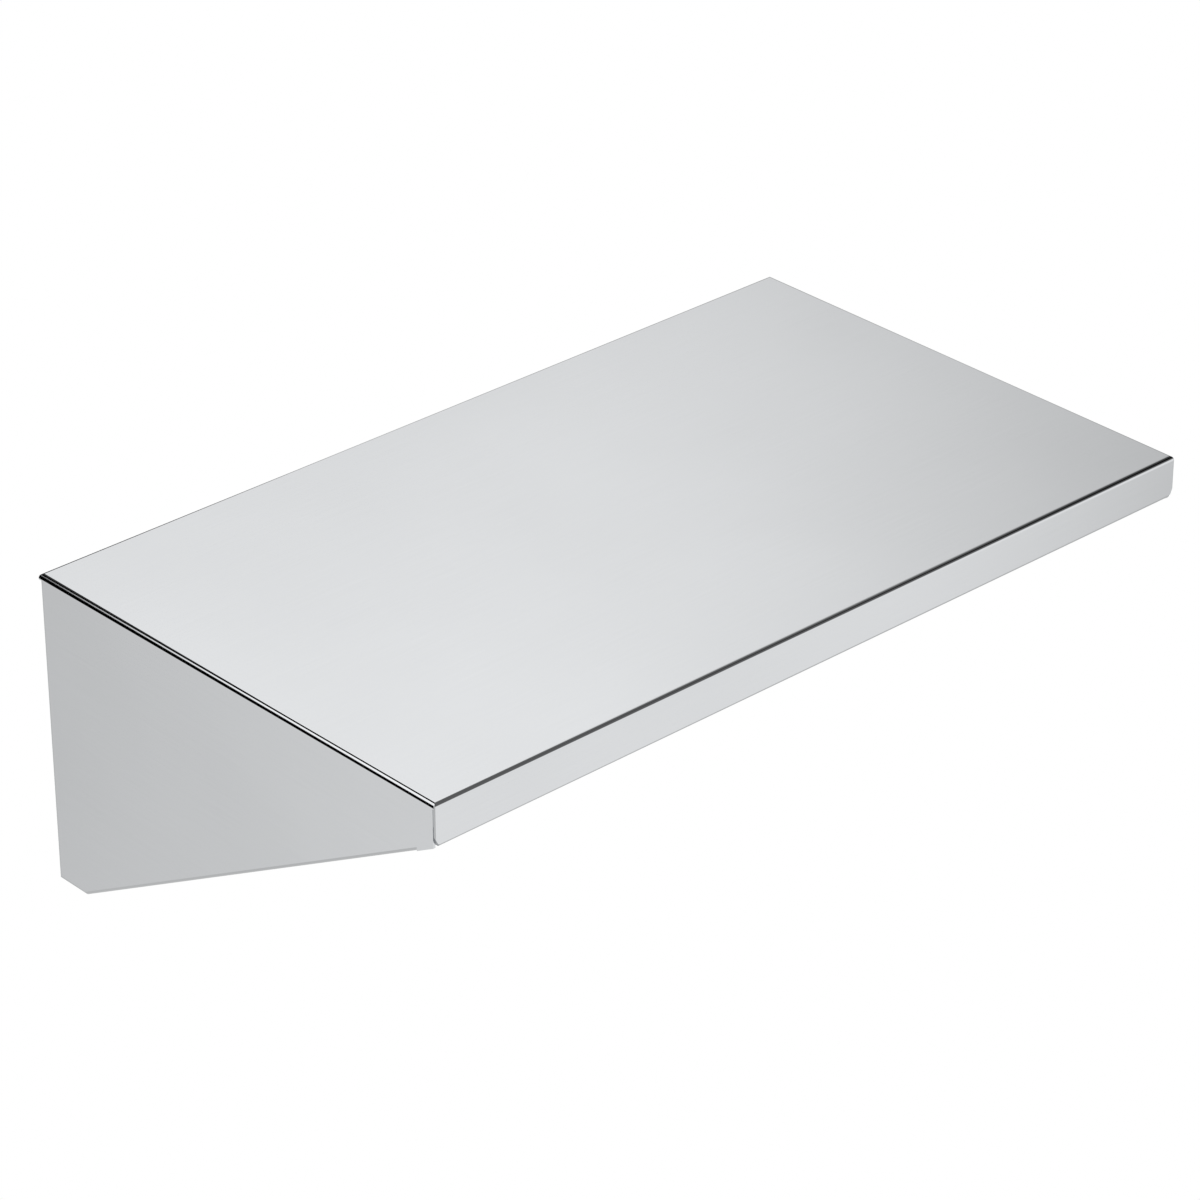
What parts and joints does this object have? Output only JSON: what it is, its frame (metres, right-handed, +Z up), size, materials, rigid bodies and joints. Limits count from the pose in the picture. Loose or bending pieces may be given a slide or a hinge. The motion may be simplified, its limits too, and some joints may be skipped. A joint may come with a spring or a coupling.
{
  "type": "wall shelf with brackets",
  "caption": "Stainless steel wall shelf: a flat deck with a folded front lip and rolled side edges on two trapezoid end brackets, stiffened underneath.",
  "frame": {"origin": "the middle of the deck's rear flange, on the face that meets the wall", "axes": "+X along the wall towards the right bracket, +Y into the wall, +Z up"},
  "size_m": [0.56, 0.33, 0.197],
  "materials": {
    "deck_sheet": "finely brushed, almost mirror bright",
    "bracket_sheet": "finely brushed, almost mirror bright",
    "stiffener_sheet": "dull mill finish",
    "stud_steel": "plain stainless",
    "washer_steel": "plain stainless, stamped",
    "nut_steel": "plain stainless, turned"
  },
  "bodies": {
    "root": {"shelf_deck": "deck_sheet", "left_bracket": "bracket_sheet", "right_bracket": "bracket_sheet", "deck_stiffener": "stiffener_sheet", "weld_stud_left_1": "stud_steel", "washer_left_1": "washer_steel", "hex_nut_left_1": "nut_steel", "weld_stud_left_2": "stud_steel", "washer_left_2": "washer_steel", "hex_nut_left_2": "nut_steel", "weld_stud_left_3": "stud_steel", "washer_left_3": "washer_steel", "hex_nut_left_3": "nut_steel", "weld_stud_left_front_tab": "stud_steel", "washer_left_front_tab": "washer_steel", "hex_nut_left_front_tab": "nut_steel", "weld_stud_right_1": "stud_steel", "washer_right_1": "washer_steel", "hex_nut_right_1": "nut_steel", "weld_stud_right_2": "stud_steel", "washer_right_2": "washer_steel", "hex_nut_right_2": "nut_steel", "weld_stud_right_3": "stud_steel", "washer_right_3": "washer_steel", "hex_nut_right_3": "nut_steel", "weld_stud_right_front_tab": "stud_steel", "washer_right_front_tab": "washer_steel", "hex_nut_right_front_tab": "nut_steel"}
  },
  "joints": []
}
